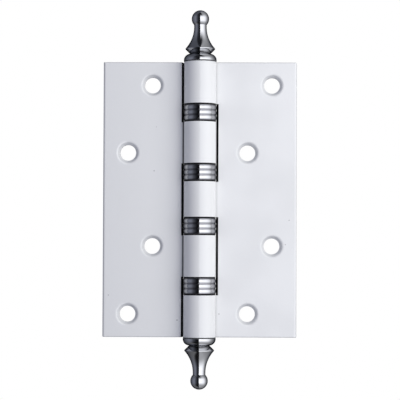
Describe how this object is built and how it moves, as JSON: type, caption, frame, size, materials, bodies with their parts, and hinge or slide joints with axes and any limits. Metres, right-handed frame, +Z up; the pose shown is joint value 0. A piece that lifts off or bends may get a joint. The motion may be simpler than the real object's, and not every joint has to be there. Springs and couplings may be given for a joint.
{
  "type": "ball bearing butt hinge",
  "caption": "Butt hinge laid open flat: two white rolled-steel leaves with countersunk holes, ribbed chrome ball bearings between the knuckles and steeple finials on the pin.",
  "frame": {"origin": "on the pin's axis, at the middle of the barrel's height", "axes": "+Z up along the pin, +X from the pin towards the free edge of the frame leaf (the one with three knuckles), -Y out of the leaves' countersunk faces, with the leaves open flat"},
  "size_m": [0.088, 0.0148, 0.1722],
  "materials": {
    "white_enamel": "semi-gloss white enamel on steel",
    "polished_chrome": "polished chrome plate",
    "ground_steel": "ground bearing steel",
    "cage_brass": "plain brass"
  },
  "bodies": {
    "frame_leaf": {"frame_leaf": "white_enamel", "hinge_pin": "ground_steel", "top_finial": "polished_chrome", "bottom_finial": "polished_chrome", "bearing_1_upper_race": "ground_steel", "bearing_2_lower_race": "ground_steel", "bearing_2_shell": "polished_chrome", "bearing_3_upper_race": "ground_steel", "bearing_4_lower_race": "ground_steel", "bearing_4_shell": "polished_chrome"},
    "door_leaf": {"door_leaf": "white_enamel", "bearing_1_lower_race": "ground_steel", "bearing_1_shell": "polished_chrome", "bearing_2_upper_race": "ground_steel", "bearing_3_lower_race": "ground_steel", "bearing_3_shell": "polished_chrome", "bearing_4_upper_race": "ground_steel"},
    "bearing_1_ball_set": {"bearing_1_cage": "cage_brass", "bearing_1_balls": "ground_steel"},
    "bearing_2_ball_set": {"bearing_2_cage": "cage_brass", "bearing_2_balls": "ground_steel"},
    "bearing_3_ball_set": {"bearing_3_cage": "cage_brass", "bearing_3_balls": "ground_steel"},
    "bearing_4_ball_set": {"bearing_4_cage": "cage_brass", "bearing_4_balls": "ground_steel"}
  },
  "joints": [
    {"name": "leaf_swing", "type": "hinge", "parent": "frame_leaf", "child": "door_leaf", "pos_m": [0, 0, 0], "axis": [0, 0, 1], "range_deg": [-90, 180]},
    {"name": "bearing_1_roll", "type": "hinge", "parent": "frame_leaf", "child": "bearing_1_ball_set", "pos_m": [0, 0, 0.03927], "axis": [0, 0, 1], "range_deg": [-45, 90]},
    {"name": "bearing_2_roll", "type": "hinge", "parent": "frame_leaf", "child": "bearing_2_ball_set", "pos_m": [0, 0, 0.01218], "axis": [0, 0, 1], "range_deg": [-45, 90]},
    {"name": "bearing_3_roll", "type": "hinge", "parent": "frame_leaf", "child": "bearing_3_ball_set", "pos_m": [0, 0, -0.01218], "axis": [0, 0, 1], "range_deg": [-45, 90]},
    {"name": "bearing_4_roll", "type": "hinge", "parent": "frame_leaf", "child": "bearing_4_ball_set", "pos_m": [0, 0, -0.03927], "axis": [0, 0, 1], "range_deg": [-45, 90]}
  ],
  "couplings": [
    {"joint": "bearing_1_roll", "follows": "leaf_swing", "ratio": 0.5},
    {"joint": "bearing_2_roll", "follows": "leaf_swing", "ratio": 0.5},
    {"joint": "bearing_3_roll", "follows": "leaf_swing", "ratio": 0.5},
    {"joint": "bearing_4_roll", "follows": "leaf_swing", "ratio": 0.5}
  ]
}
